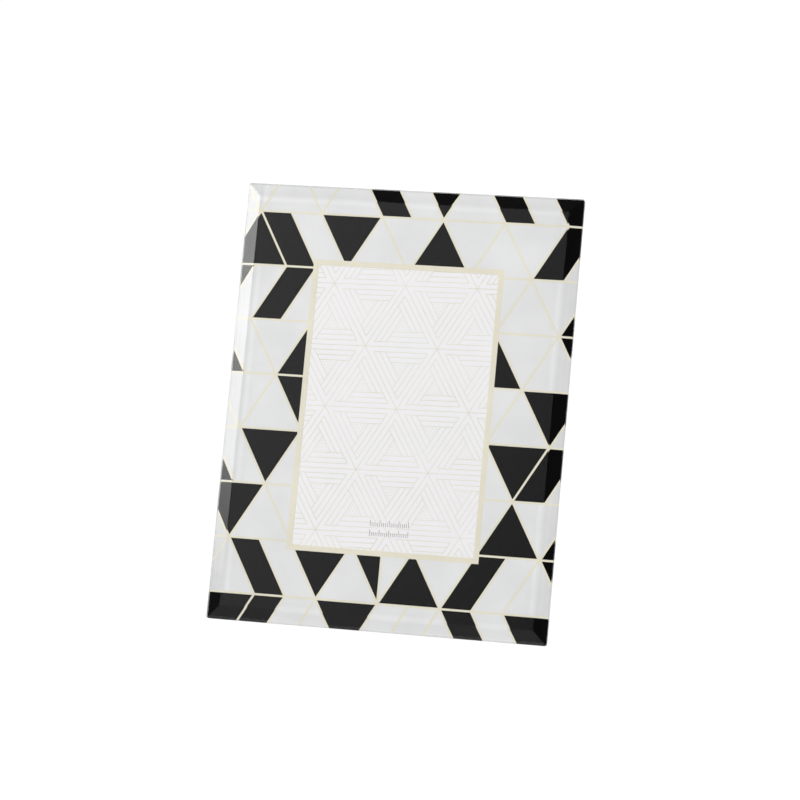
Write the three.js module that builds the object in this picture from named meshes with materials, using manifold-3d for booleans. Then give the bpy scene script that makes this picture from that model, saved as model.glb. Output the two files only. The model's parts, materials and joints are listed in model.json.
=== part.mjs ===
// A bevelled glass picture frame for a 4 by 6 inch photo, leaning back on a hinged easel strut.
// Millimetres, +Z up. It stands on z = 0, and the origin lies under the middle of its outline.
//
// Every piece behind the glass is drawn in the plate's own frame: x to the right as seen from the
// front, y from the back of the glass towards the rear, z up the glass from its bottom edge.
import * as THREE from "three";
import { mergeVertices } from "three/addons/utils/BufferGeometryUtils.js";
import Module from "manifold-3d";

const wasm = await Module();
wasm.setup();

// Stance
const LEAN_DEGREES = 20; // how far the glass leans back from upright
const STRUT_OPEN_DEGREES = 30; // between the strut and the back, at the hinge's stop

// Glass plate, with a polished bevel round its front
const GLASS_WIDTH = 177.8;
const GLASS_HEIGHT = 228.6;
const GLASS_THICKNESS = 5;
const GLASS_CORNER_RADIUS = 1.2;
const BEVEL_WIDTH = 7.1;
const BEVEL_DROP = 2.33;
const ARRIS = 0.4; // ground off the sharp rear edges

// Photo and the clear window that shows it
const PHOTO_WIDTH = 101.6;
const PHOTO_HEIGHT = 152.4;
const CARD_THICKNESS = 0.3;
const WINDOW_WIDTH = 95.25;
const WINDOW_HEIGHT = 146.05;

// Print on the back of the glass: gold lines over black tiles on a white ground
const INK_THICKNESS = 0.1;
const INK_GAP = 0.1;
const INK_MARGIN = 0.45; // bare rim between the print and the edge of the glass
const TILE_ROWS = 8; // printed horizontal lines
const TILE_COLUMNS = 6; // nodes on the first line
const TILE_SIDE_MARGIN = 7.65; // from the side of the glass to the first node
const TILE_TOP_MARGIN = 14.2875; // from the top of the glass to the first line
const GOLD_LINE = 1.1;
const GOLD_BORDER = 2.8; // round the window
const WHITE_UNDER_GOLD = 0.15; // white kept on the tile's side of a line's middle
const BLACK_UNDER_GOLD = 0.4; // from a line's middle to where the black tile starts

// Back frame, a fibreboard ring taped to the print
const BACK_FRAME_INSET = 9;
const BACK_FRAME_THICKNESS = 4;
const BACK_FRAME_CORNER_RADIUS = 3;
const POCKET_CLEARANCE = 0.8; // each side of the photo
const TAPE_THICKNESS = 0.5;
const TAPE_WIDTH = 14;
const TAPE_END_GAP = 6;

// Backing panel that closes the pocket
const PANEL_THICKNESS = 2.6;
const PANEL_CLEARANCE = 0.3; // each side, inside the pocket

// Turn buttons that hold the panel, each on a screw
const BUTTON_WIDTH = 8;
const BUTTON_REACH = 14; // from the screw to the tip
const BUTTON_THICKNESS = 0.8;
const BUTTON_SPACING = 92; // between the upper and the lower pair
const BUTTON_SCREW_EDGE = 6.5; // from the pocket to the screw
const SCREW_RADIUS = 1.3;
const SCREW_DEPTH = 3;
const SCREW_HEAD_RADIUS = 2.8;
const SCREW_HEAD_HEIGHT = 1.3;

// Strut hinge: a base on the panel, a leaf on the strut and a pin through both
const HINGE_HEIGHT = 150; // of the pin, up the glass
const HINGE_PLATE = 1; // sheet thickness
const BASE_ABOVE = 19; // how far the base runs above and below the pin
const BASE_BELOW = 3;
const LEAF_WIDTH = 30;
const LEAF_LENGTH = 25;
const STOP_LENGTH = 7;
const STOP_GAP = 0.3;
const EAR_THICKNESS = 1.5;
const PIN_RADIUS = 1.2;
const PIN_END = 0.8; // past each ear
const KNUCKLE_RADIUS = 2.2;
const RIVET_RADIUS = 1.2;
const RIVET_HEAD_RADIUS = 2.6;
const RIVET_HEAD_HEIGHT = 0.9;
const RIVET_DEPTH = 2; // into the board
const RIVET_SPACING = 20;
const BASE_RIVET_RISE = 13; // above the pin
const LEAF_RIVET_DROP = 18; // below the pin

// Strut, a tapered board with its foot cut to stand flat
const STRUT_THICKNESS = 2.8;
const STRUT_TOP_WIDTH = 38;
const STRUT_FOOT_WIDTH = 66;
const STRUT_CORNER_RADIUS = 4;
const STRUT_LIFT = 0.4; // off the back when it is folded
const STRUT_TOP_CLEARANCE = 2; // below the hinge base

// Fits
const SEAT_GAP = 0.2; // between pieces that rest on each other
const HOLE_CLEARANCE = 0.2; // round pins, screws and rivets
const ROUND_SEGMENTS = 24;
const CORNER_SEGMENTS = 6;
const OVERCUT = 20; // how far a cutting shape runs past what it cuts

// Depths behind the glass, layer by layer
const goldFront = INK_GAP;
const goldBack = goldFront + INK_THICKNESS;
const whiteFront = goldBack + INK_GAP;
const whiteBack = whiteFront + INK_THICKNESS;
const blackCoatFront = whiteBack + INK_GAP;
const printBack = blackCoatFront + INK_THICKNESS;
const tapeFront = printBack + INK_GAP;
const tapeBack = tapeFront + TAPE_THICKNESS;
const backFrameFront = tapeBack + INK_GAP;
const rear = backFrameFront + BACK_FRAME_THICKNESS;
const panelFront = rear - PANEL_THICKNESS;
const cardFront = printBack + INK_GAP;
const cardBack = cardFront + CARD_THICKNESS;

// Places that more than one piece uses
const lean = THREE.MathUtils.degToRad(LEAN_DEGREES);
const strutOpen = THREE.MathUtils.degToRad(STRUT_OPEN_DEGREES);
const middle = GLASS_HEIGHT / 2;
const pocketWidth = PHOTO_WIDTH + 2 * POCKET_CLEARANCE;
const pocketHeight = PHOTO_HEIGHT + 2 * POCKET_CLEARANCE;
const backFrameWidth = GLASS_WIDTH - 2 * BACK_FRAME_INSET;
const backFrameHeight = GLASS_HEIGHT - 2 * BACK_FRAME_INSET;
const tileBase = (GLASS_WIDTH - 2 * TILE_SIDE_MARGIN) / (TILE_COLUMNS - 1);
const tileRow = (GLASS_HEIGHT - 2 * TILE_TOP_MARGIN) / (TILE_ROWS - 1);
const buttonX = pocketWidth / 2 + BUTTON_SCREW_EDGE;
const buttonFront = rear + SEAT_GAP;
const screwSeat = buttonFront + BUTTON_THICKNESS + SEAT_GAP;
const baseFront = rear + SEAT_GAP;
const baseRear = baseFront + HINGE_PLATE;
const strutRear = -HINGE_PLATE / 2 - SEAT_GAP; // of the strut, seen from the pin
const strutFront = strutRear - STRUT_THICKNESS;
const pinDepth = rear + STRUT_LIFT - strutFront;
const earX = LEAF_WIDTH / 2 + SEAT_GAP;

// Finishes
const finish = (color, roughness, metalness = 0) =>
  new THREE.MeshStandardMaterial({ color, roughness, metalness });
const clearGlass = finish(0xeaf2ef, 0.03);
clearGlass.transparent = true;
clearGlass.opacity = 0.3;
const goldInk = finish(0xe6dfc4, 0.45, 0.3);
const whiteInk = finish(0xe8e9ea, 0.4);
const blackInk = finish(0x171617, 0.4);
const card = finish(0xf2f1f3, 0.7);
const greyBoard = finish(0x8f8a80, 0.9);
const tape = finish(0xdfe3e4, 0.6);
const flockedBoard = finish(0x17171a, 0.95);
const steel = finish(0xb9bcc0, 0.35, 1);
const blackSteel = finish(0x2a2b2e, 0.4, 0.8);

// A closed geometry as a solid for joining and cutting.
function solid(geometry) {
  const bare = geometry.clone();
  bare.deleteAttribute("normal");
  bare.deleteAttribute("uv");
  const merged = mergeVertices(bare, 1e-4);
  const corners = [...merged.index.array];
  const triangles = [];
  for (let i = 0; i < corners.length; i += 3) {
    const [a, b, c] = corners.slice(i, i + 3);
    if (a !== b && b !== c && c !== a) triangles.push(a, b, c);
  }
  return new wasm.Manifold(
    new wasm.Mesh({
      numProp: 3,
      vertProperties: merged.attributes.position.array,
      triVerts: new Uint32Array(triangles),
    }),
  );
}

// A solid as the geometry of a mesh, with flat shaded faces.
function geometryOf(body) {
  const mesh = body.getMesh();
  const shared = new THREE.BufferGeometry();
  shared.setAttribute("position", new THREE.BufferAttribute(mesh.vertProperties, 3));
  shared.setIndex(new THREE.BufferAttribute(mesh.triVerts, 1));
  const faceted = shared.toNonIndexed();
  faceted.computeVertexNormals();
  return faceted;
}

const join = (bodies) => bodies.reduce((whole, body) => whole.add(body));
const cut = (body, tools) => tools.reduce((left, tool) => left.subtract(tool), body);

// A flat outline in x and z, pulled from one depth to another.
function slab(outline, front, back, bevel = {}) {
  const options = { depth: back - front, bevelEnabled: false, curveSegments: CORNER_SEGMENTS, ...bevel };
  const geometry = new THREE.ExtrudeGeometry(outline, options);
  return geometry.rotateX(Math.PI / 2).translate(0, back, 0);
}

// A rectangle about a point, with round corners where a radius is given.
function rectangle(width, height, x = 0, z = middle, radius = 0) {
  const outline = new THREE.Shape();
  const [left, right] = [x - width / 2, x + width / 2];
  const [bottom, top] = [z - height / 2, z + height / 2];
  const quarter = Math.PI / 2;
  if (radius === 0) {
    outline.setFromPoints([
      new THREE.Vector2(left, bottom),
      new THREE.Vector2(right, bottom),
      new THREE.Vector2(right, top),
      new THREE.Vector2(left, top),
    ]);
    return outline;
  }
  outline.absarc(right - radius, bottom + radius, radius, -quarter, 0);
  outline.absarc(right - radius, top - radius, radius, 0, quarter);
  outline.absarc(left + radius, top - radius, radius, quarter, 2 * quarter);
  outline.absarc(left + radius, bottom + radius, radius, 2 * quarter, 3 * quarter);
  outline.closePath();
  return outline;
}

// A round hole or bar along y.
function barAlongDepth(radius, x, z, front, back) {
  const geometry = new THREE.CylinderGeometry(radius, radius, back - front, ROUND_SEGMENTS);
  return solid(geometry.translate(x, (front + back) / 2, z));
}

// A round hole or bar along x, about a point in y and z.
function barAcross(radius, length, y = 0, z = 0) {
  const geometry = new THREE.CylinderGeometry(radius, radius, length, ROUND_SEGMENTS);
  return solid(geometry.rotateZ(Math.PI / 2).translate(0, y, z));
}

function box(width, depth, height, x, y, z) {
  return new THREE.BoxGeometry(width, depth, height).translate(x, y, z);
}

// A fastener turned about y: a domed head on its seat, and a shank in front of the seat.
function fastener(headRadius, headHeight, shankRadius, shankLength) {
  const profile = [
    [0, -shankLength],
    [shankRadius, -shankLength],
    [shankRadius, 0],
    [headRadius, 0],
    [headRadius, headHeight * 0.4],
    [headRadius * 0.75, headHeight * 0.85],
    [headRadius * 0.35, headHeight],
    [0, headHeight],
  ];
  const points = profile.map(([radius, along]) => new THREE.Vector2(radius, along));
  return geometryOf(solid(new THREE.LatheGeometry(points, ROUND_SEGMENTS)));
}

function piece(parent, name, geometry, material) {
  const mesh = new THREE.Mesh(geometry, material);
  mesh.name = name;
  parent.add(mesh);
  return mesh;
}

const plate = new THREE.Group(); // what leans with the glass
plate.rotation.x = -lean;
const strut = new THREE.Group(); // what swings on the hinge pin
strut.position.set(0, pinDepth, HINGE_HEIGHT);
strut.rotation.x = strutOpen;
plate.add(strut);

// Glass plate: a wide bevel from the front, trimmed to round corners and a fine rear arris.
function glassPlate() {
  const square = rectangle(GLASS_WIDTH, GLASS_HEIGHT);
  const bevelled = slab(square, BEVEL_DROP - GLASS_THICKNESS, GLASS_THICKNESS, {
    bevelEnabled: true,
    bevelSegments: 1,
    bevelThickness: BEVEL_DROP,
    bevelSize: BEVEL_WIDTH,
    bevelOffset: -BEVEL_WIDTH,
  });
  const cornered = rectangle(GLASS_WIDTH, GLASS_HEIGHT, 0, middle, GLASS_CORNER_RADIUS);
  const trimmed = slab(cornered, ARRIS - GLASS_THICKNESS, -ARRIS, {
    bevelEnabled: true,
    bevelSegments: 1,
    bevelThickness: ARRIS,
    bevelSize: ARRIS,
    bevelOffset: -ARRIS,
  });
  return geometryOf(solid(bevelled).intersect(solid(trimmed)));
}
piece(plate, "glass_plate", glassPlate(), clearGlass);

// Triangle pattern. Its lines are counted from the top, and every second one is set over by half a tile.
function node(row, column) {
  const setOver = row % 2 === 0 ? 0 : 0.5;
  return new THREE.Vector2(
    (column - (TILE_COLUMNS - 1) / 2 + setOver) * tileBase,
    middle + ((TILE_ROWS - 1) / 2 - row) * tileRow,
  );
}
const step = (from, halves, rows) =>
  new THREE.Vector2(from.x + (halves * tileBase) / 2, from.y - rows * tileRow);

// Corners of a tile whose first corner is at a node, clockwise from there.
const tileCorners = {
  down: (at) => [at, step(at, 2, 0), step(at, 1, 1)],
  up: (at) => [at, step(at, 1, 1), step(at, -1, 1)],
  halfDown: (at) => [at, step(at, 1, 0), step(at, 1, 1)],
  bandRight: (at) => [at, step(at, 1, 0), step(at, 2, 1), step(at, 1, 1)],
  bandLeft: (at) => [at, step(at, 1, 0), step(at, 0, 1), step(at, -1, 1)],
};
const blackTiles = [
  ["bandRight", -1, 1], ["down", -1, 2], ["bandRight", -1, 3], ["bandRight", -1, 4],
  ["up", 0, 0], ["bandRight", 0, 0], ["down", 0, 1], ["up", 0, 3], ["bandLeft", 0, 5],
  ["bandLeft", 1, -1], ["bandLeft", 1, 0], ["up", 1, 5],
  ["bandRight", 2, -1], ["up", 2, 1], ["up", 2, 4], ["down", 2, 5],
  ["down", 3, 0], ["down", 3, 4],
  ["bandRight", 4, -1], ["down", 4, 0], ["down", 4, 4], ["bandLeft", 4, 5],
  ["down", 5, -1], ["up", 5, 4], ["up", 5, 5],
  ["bandRight", 6, 0], ["down", 6, 1], ["halfDown", 6, 2], ["up", 6, 3], ["bandLeft", 6, 4], ["down", 6, 5],
  ["down", 7, -1], ["bandLeft", 7, 0], ["down", 7, 1], ["bandRight", 7, 3], ["down", 7, 4],
].map(([kind, row, column]) => tileCorners[kind](node(row, column)));

// Gold lines between white tiles: from a node, down to the right or down to the left.
const linesRight = [[-1, -1], [-1, 0], [0, 2], [0, 4], [1, 4], [2, 0], [3, -1], [5, 0]];
const linesLeft = [
  [-1, 0], [-1, 1], [0, 4], [1, 4], [2, 5], [3, 0], [3, 4], [6, 0], [6, 5], [7, 1], [7, 2.5], [7, 3],
];

// A tile's outline drawn in by a distance, on every side.
function drawnIn(corners, distance) {
  const count = corners.length;
  const sides = corners.map((corner, i) => {
    const along = corners[(i + 1) % count].clone().sub(corner).normalize();
    const inward = new THREE.Vector2(along.y, -along.x);
    return { start: corner.clone().addScaledVector(inward, distance), along };
  });
  return sides.map((side, i) => {
    const before = sides[(i + count - 1) % count];
    const apart = side.start.clone().sub(before.start);
    const reach = apart.cross(side.along) / before.along.cross(side.along);
    return before.start.clone().addScaledVector(before.along, reach);
  });
}

// The printed area from one depth to another: the glass less its bare rim and a window.
function printedArea(windowGrowth, front, back) {
  const [width, height] = [GLASS_WIDTH - 2 * INK_MARGIN, GLASS_HEIGHT - 2 * INK_MARGIN];
  const area = rectangle(width, height, 0, middle, GLASS_CORNER_RADIUS - INK_MARGIN);
  area.holes.push(rectangle(WINDOW_WIDTH + 2 * windowGrowth, WINDOW_HEIGHT + 2 * windowGrowth));
  return solid(slab(area, front, back));
}

// Every black tile from one depth to another, drawn in from its outline and kept off the window.
function tilePrisms(distance, front, back) {
  const prisms = blackTiles.map((corners) =>
    solid(slab(new THREE.Shape(drawnIn(corners, distance)), front, back)),
  );
  return join(prisms).intersect(printedArea(GOLD_BORDER - GOLD_LINE / 2 + distance, front, back));
}

// One gold line as a bar, a little longer than the distance that it spans.
function goldBar(from, to) {
  const span = to.clone().sub(from);
  const bar = box(span.length() + GOLD_LINE / 2, INK_THICKNESS, GOLD_LINE, 0, 0, 0);
  bar.rotateY(-span.angle());
  const centre = from.clone().add(to).multiplyScalar(0.5);
  return solid(bar.translate(centre.x, (goldFront + goldBack) / 2, centre.y));
}

// A point inside the edges of the glass.
function onGlass(point) {
  return Math.abs(point.x) < GLASS_WIDTH / 2 && Math.abs(point.y - middle) < GLASS_HEIGHT / 2;
}

// Lines round the black tiles, between white tiles and across the glass, and the window's border.
function goldPrint() {
  const spans = new Map();
  const addSpan = (from, to) => {
    if (!onGlass(from) && !onGlass(to)) return;
    const ends = [from, to].map((end) => `${end.x.toFixed(3)},${end.y.toFixed(3)}`);
    spans.set(ends.sort().join(" "), [from, to]);
  };
  for (const corners of blackTiles) {
    corners.forEach((corner, i) => addSpan(corner, corners[(i + 1) % corners.length]));
  }
  for (const [row, column] of linesRight) addSpan(node(row, column), step(node(row, column), 1, 1));
  for (const [row, column] of linesLeft) addSpan(node(row, column), step(node(row, column), -1, 1));
  const bars = [...spans.values()].map(([from, to]) => goldBar(from, to));
  for (let row = 0; row < TILE_ROWS; row++) {
    const { y } = node(row, 0);
    bars.push(goldBar(new THREE.Vector2(-GLASS_WIDTH / 2, y), new THREE.Vector2(GLASS_WIDTH / 2, y)));
  }
  const border = rectangle(WINDOW_WIDTH + 2 * GOLD_BORDER, WINDOW_HEIGHT + 2 * GOLD_BORDER);
  border.holes.push(rectangle(WINDOW_WIDTH, WINDOW_HEIGHT));
  const lines = join(bars).intersect(printedArea(GOLD_BORDER / 2, goldFront, goldBack));
  return geometryOf(lines.add(solid(slab(border, goldFront, goldBack))));
}
piece(plate, "gold_print", goldPrint(), goldInk);

function whitePrint() {
  const windows = tilePrisms(WHITE_UNDER_GOLD, whiteFront - INK_GAP, whiteBack + INK_GAP);
  return geometryOf(printedArea(0, whiteFront, whiteBack).subtract(windows));
}
piece(plate, "white_print", whitePrint(), whiteInk);

// The black coat backs the whole print, and shows through the tiles left open in the white.
function blackPrint() {
  const tiles = tilePrisms(BLACK_UNDER_GOLD, whiteFront, printBack);
  return geometryOf(printedArea(0, blackCoatFront, printBack).add(tiles));
}
piece(plate, "black_print", blackPrint(), blackInk);

// What lies in the pocket: the photo card, and a filler that presses it to the glass.
const photo = rectangle(PHOTO_WIDTH, PHOTO_HEIGHT);
piece(plate, "photo_card", slab(photo, cardFront, cardBack), card);
piece(plate, "filler_card", slab(photo, cardBack + SEAT_GAP, panelFront - SEAT_GAP), greyBoard);

// Tape strips, along the middle of each side of the back frame.
const railX = (pocketWidth + backFrameWidth) / 4;
const railZ = (pocketHeight + backFrameHeight) / 4;
for (const [name, side] of [["left", -1], ["right", 1]]) {
  const strip = rectangle(TAPE_WIDTH, pocketHeight, side * railX);
  piece(plate, `tape_${name}`, slab(strip, tapeFront, tapeBack), tape);
}
for (const [name, side] of [["bottom", -1], ["top", 1]]) {
  const strip = rectangle(backFrameWidth - 2 * TAPE_END_GAP, TAPE_WIDTH, 0, middle + side * railZ);
  piece(plate, `tape_${name}`, slab(strip, tapeFront, tapeBack), tape);
}

// Places of the turn buttons: a pair on each side of the pocket.
const buttonPlaces = [
  ["left_upper", -1, 1],
  ["left_lower", -1, -1],
  ["right_upper", 1, 1],
  ["right_lower", 1, -1],
].map(([name, side, level]) => ({
  name,
  side,
  x: side * buttonX,
  z: middle + (level * BUTTON_SPACING) / 2,
}));

function backFrame() {
  const ring = rectangle(backFrameWidth, backFrameHeight, 0, middle, BACK_FRAME_CORNER_RADIUS);
  ring.holes.push(rectangle(pocketWidth, pocketHeight));
  const pilots = buttonPlaces.map(({ x, z }) =>
    barAlongDepth(SCREW_RADIUS + HOLE_CLEARANCE, x, z, rear - SCREW_DEPTH - SEAT_GAP, rear + OVERCUT),
  );
  return geometryOf(cut(solid(slab(ring, backFrameFront, rear)), pilots));
}
piece(plate, "back_frame", backFrame(), flockedBoard);

const rivetSides = [["left", -1], ["right", 1]];
const rivetX = RIVET_SPACING / 2;

function backingPanel() {
  const outline = rectangle(pocketWidth - 2 * PANEL_CLEARANCE, pocketHeight - 2 * PANEL_CLEARANCE);
  const holes = rivetSides.map(([, side]) =>
    barAlongDepth(
      RIVET_RADIUS + HOLE_CLEARANCE,
      side * rivetX,
      HINGE_HEIGHT + BASE_RIVET_RISE,
      rear - RIVET_DEPTH - SEAT_GAP,
      rear + OVERCUT,
    ),
  );
  return geometryOf(cut(solid(slab(outline, panelFront, rear)), holes));
}
piece(plate, "backing_panel", backingPanel(), flockedBoard);

// A turn button about its screw, with its tip along +x.
function turnButton() {
  const outline = new THREE.Shape();
  const end = BUTTON_WIDTH / 2;
  outline.absarc(0, 0, end, Math.PI / 2, (3 * Math.PI) / 2);
  outline.absarc(BUTTON_REACH - end, 0, end, -Math.PI / 2, Math.PI / 2);
  outline.closePath();
  const hole = new THREE.Path();
  hole.absarc(0, 0, SCREW_RADIUS + HOLE_CLEARANCE, 0, 2 * Math.PI, true);
  outline.holes.push(hole);
  return slab(outline, 0, BUTTON_THICKNESS);
}
for (const { name, side, x, z } of buttonPlaces) {
  const button = piece(plate, `turn_button_${name}`, turnButton(), steel);
  button.position.set(x, buttonFront, z);
  button.rotation.y = side > 0 ? Math.PI : 0;
  const shank = screwSeat - rear + SCREW_DEPTH;
  const screwGeometry = fastener(SCREW_HEAD_RADIUS, SCREW_HEAD_HEIGHT, SCREW_RADIUS, shank);
  piece(plate, `turn_screw_${name}`, screwGeometry, steel).position.set(x, screwSeat, z);
}

// Hinge base: a plate on the panel with an ear at each end of the pin.
function hingeBase() {
  const earWidth = 2 * KNUCKLE_RADIUS;
  const width = 2 * (earX + EAR_THICKNESS);
  const height = BASE_ABOVE + BASE_BELOW;
  const sheet = rectangle(width, height, 0, HINGE_HEIGHT + (BASE_ABOVE - BASE_BELOW) / 2);
  const bodies = [solid(slab(sheet, baseFront, baseRear))];
  for (const [, side] of rivetSides) {
    const x = side * (earX + EAR_THICKNESS / 2);
    const rise = pinDepth - baseFront;
    bodies.push(solid(box(EAR_THICKNESS, rise, earWidth, x, baseFront + rise / 2, HINGE_HEIGHT)));
    const round = new THREE.CylinderGeometry(KNUCKLE_RADIUS, KNUCKLE_RADIUS, EAR_THICKNESS, ROUND_SEGMENTS);
    bodies.push(solid(round.rotateZ(Math.PI / 2).translate(x, pinDepth, HINGE_HEIGHT)));
  }
  const holes = rivetSides.map(([, side]) =>
    barAlongDepth(
      RIVET_RADIUS + HOLE_CLEARANCE,
      side * rivetX,
      HINGE_HEIGHT + BASE_RIVET_RISE,
      baseFront - OVERCUT,
      baseRear + OVERCUT,
    ),
  );
  holes.push(barAcross(PIN_RADIUS + HOLE_CLEARANCE, width + OVERCUT, pinDepth, HINGE_HEIGHT));
  return geometryOf(cut(join(bodies), holes));
}
piece(plate, "hinge_base", hingeBase(), blackSteel);

const pinLength = 2 * (earX + EAR_THICKNESS + PIN_END);
piece(plate, "hinge_pin", geometryOf(barAcross(PIN_RADIUS, pinLength, pinDepth, HINGE_HEIGHT)), steel);

for (const [name, side] of rivetSides) {
  const shank = baseRear + SEAT_GAP - rear + RIVET_DEPTH;
  const rivet = fastener(RIVET_HEAD_RADIUS, RIVET_HEAD_HEIGHT, RIVET_RADIUS, shank);
  piece(plate, `base_rivet_${name}`, rivet, steel).position.set(
    side * rivetX,
    baseRear + SEAT_GAP,
    HINGE_HEIGHT + BASE_RIVET_RISE,
  );
}

// Hinge leaf, about the pin: a sheet down the strut, a knuckle, and a stop that meets the base.
function hingeLeaf() {
  const sheet = box(LEAF_WIDTH, HINGE_PLATE, LEAF_LENGTH, 0, 0, -LEAF_LENGTH / 2);
  const stopFront = baseRear + STOP_GAP - pinDepth;
  const stop = box(LEAF_WIDTH, HINGE_PLATE, STOP_LENGTH, 0, stopFront + HINGE_PLATE / 2, STOP_LENGTH / 2);
  stop.rotateX(-strutOpen);
  const bodies = [solid(sheet), solid(stop), barAcross(KNUCKLE_RADIUS, LEAF_WIDTH)];
  const holes = rivetSides.map(([, side]) =>
    barAlongDepth(RIVET_RADIUS + HOLE_CLEARANCE, side * rivetX, -LEAF_RIVET_DROP, -OVERCUT, OVERCUT),
  );
  holes.push(barAcross(PIN_RADIUS + HOLE_CLEARANCE, LEAF_WIDTH + OVERCUT));
  return geometryOf(cut(join(bodies), holes));
}
piece(strut, "hinge_leaf", hingeLeaf(), blackSteel);

for (const [name, side] of rivetSides) {
  const seat = HINGE_PLATE / 2 + SEAT_GAP;
  const rivet = fastener(RIVET_HEAD_RADIUS, RIVET_HEAD_HEIGHT, RIVET_RADIUS, seat - strutRear + RIVET_DEPTH);
  piece(strut, `leaf_rivet_${name}`, rivet, steel).position.set(side * rivetX, seat, -LEAF_RIVET_DROP);
}

// The glass stands on the lower corner of its rear arris.
const floor = Math.min(ARRIS * Math.cos(lean), ARRIS * Math.sin(lean));
plate.position.z = -floor;
plate.updateMatrixWorld(true);

// Strut, about the pin: a tapered board, long enough for its foot to be cut level with the floor.
function easelStrut() {
  const pinHeight = strut.getWorldPosition(new THREE.Vector3()).z;
  const slope = strutOpen - lean;
  const lengthAt = (depth) => (pinHeight + depth * Math.sin(slope)) / Math.cos(slope);
  const length = Math.max(lengthAt(strutFront), lengthAt(strutRear));
  const top = -BASE_BELOW - STRUT_TOP_CLEARANCE;
  const [halfTop, halfFoot] = [STRUT_TOP_WIDTH / 2, STRUT_FOOT_WIDTH / 2];
  const radius = STRUT_CORNER_RADIUS;
  const outline = new THREE.Shape();
  outline.moveTo(-halfFoot + radius, -length);
  outline.lineTo(halfFoot - radius, -length);
  outline.quadraticCurveTo(halfFoot, -length, halfFoot, -length + radius);
  outline.lineTo(halfTop, top - radius);
  outline.quadraticCurveTo(halfTop, top, halfTop - radius, top);
  outline.lineTo(-halfTop + radius, top);
  outline.quadraticCurveTo(-halfTop, top, -halfTop, top - radius);
  outline.lineTo(-halfFoot, -length + radius);
  outline.quadraticCurveTo(-halfFoot, -length, -halfFoot + radius, -length);
  const holes = rivetSides.map(([, side]) =>
    barAlongDepth(
      RIVET_RADIUS + HOLE_CLEARANCE,
      side * rivetX,
      -LEAF_RIVET_DROP,
      strutRear - RIVET_DEPTH - SEAT_GAP,
      strutRear + OVERCUT,
    ),
  );
  const ground = box(2 * STRUT_FOOT_WIDTH, 2 * length, OVERCUT, 0, 0, -OVERCUT / 2);
  ground.translate(0, strut.getWorldPosition(new THREE.Vector3()).y, 0);
  ground.applyMatrix4(strut.matrixWorld.clone().invert());
  return geometryOf(cut(solid(slab(outline, strutFront, strutRear)), [...holes, solid(ground)]));
}
piece(strut, "easel_strut", easelStrut(), flockedBoard);

// The whole frame, with its origin under the middle of its outline.
const pictureFrame = new THREE.Group();
pictureFrame.name = "picture_frame";
pictureFrame.add(plate);
const outline = new THREE.Box3().setFromObject(pictureFrame, true);
plate.position.y = -(outline.min.y + outline.max.y) / 2;

export default pictureFrame;
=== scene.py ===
import json
import math

import bmesh
import bpy
from mathutils import Matrix, Vector


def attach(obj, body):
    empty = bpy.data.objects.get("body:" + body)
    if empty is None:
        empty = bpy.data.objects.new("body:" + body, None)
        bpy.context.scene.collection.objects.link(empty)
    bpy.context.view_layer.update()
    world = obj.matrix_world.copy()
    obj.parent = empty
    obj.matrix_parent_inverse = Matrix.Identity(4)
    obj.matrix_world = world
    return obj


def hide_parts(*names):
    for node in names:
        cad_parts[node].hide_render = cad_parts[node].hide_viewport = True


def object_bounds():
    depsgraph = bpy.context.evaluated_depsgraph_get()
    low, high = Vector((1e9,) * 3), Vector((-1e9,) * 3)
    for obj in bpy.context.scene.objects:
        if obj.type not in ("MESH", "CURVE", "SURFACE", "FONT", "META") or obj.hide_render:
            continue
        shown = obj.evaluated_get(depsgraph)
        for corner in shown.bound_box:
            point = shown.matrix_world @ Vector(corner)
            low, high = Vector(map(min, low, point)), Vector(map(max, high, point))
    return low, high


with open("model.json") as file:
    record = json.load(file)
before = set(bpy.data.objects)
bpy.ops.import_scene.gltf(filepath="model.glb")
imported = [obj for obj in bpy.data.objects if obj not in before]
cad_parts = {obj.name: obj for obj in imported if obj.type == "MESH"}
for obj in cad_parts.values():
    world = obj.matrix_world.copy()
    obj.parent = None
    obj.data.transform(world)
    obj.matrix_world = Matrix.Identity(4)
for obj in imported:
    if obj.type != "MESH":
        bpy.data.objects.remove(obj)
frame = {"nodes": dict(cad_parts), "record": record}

cad_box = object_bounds()

# Glass plate. One sheet of clear float glass, with a wide polished bevel ground round its front,
# small rounds at its corners and fine arrises on its edges. The print is on its back, so the mesh
# reaches into the layers of ink, and no air lies between the glass and the ink.
MM = 0.001
BEVEL_WIDTH = 7.1 * MM
BEVEL_DROP = 2.33 * MM
GLASS_CORNER = 1.2 * MM
FRONT_ARRIS = 0.2 * MM
REAR_ARRIS = 0.4 * MM
INK_PROUD = 0.05 * MM  # black ink left behind the back of the glass
GLASS_TINTS = ((0.99, 0.996, 0.993, 1), (0.976, 0.992, 0.984, 1))
GROUND_TINTS = ((0.78, 0.8, 0.795, 1), (0.66, 0.69, 0.68, 1))
GLASS_IOR = 1.5
ROLLER_WAVE = 0.02 * MM
NOISE_RANGE = (0.3, 0.7)  # where most of a noise lies
TO_FRONT = Vector((0, -1, 0))
TO_REAR = Vector((0, 1, 0))
SAME_WAY = 0.999  # least cosine between directions that count as one
SIDEWAYS = 0.9  # below it, a face of the glass is ground
SHARP_ANGLE = math.radians(40)

joints = {joint["name"]: joint for joint in frame["record"]["behaviour"]["joints"]}
screw_axis = Vector(joints["left_upper_turn"]["axis"])
lean = math.atan2(-screw_axis.z, screw_axis.y)
plate_turn = Matrix.Rotation(-lean, 4, "X")


def corners(node, turn):
    """The lowest and highest corner of a solid, along axes that lean with it."""
    points = [turn.inverted() @ vertex.co for vertex in frame["nodes"][node].data.vertices]
    axes = list(zip(*points))
    return Vector([min(axis) for axis in axes]), Vector([max(axis) for axis in axes])


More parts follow.
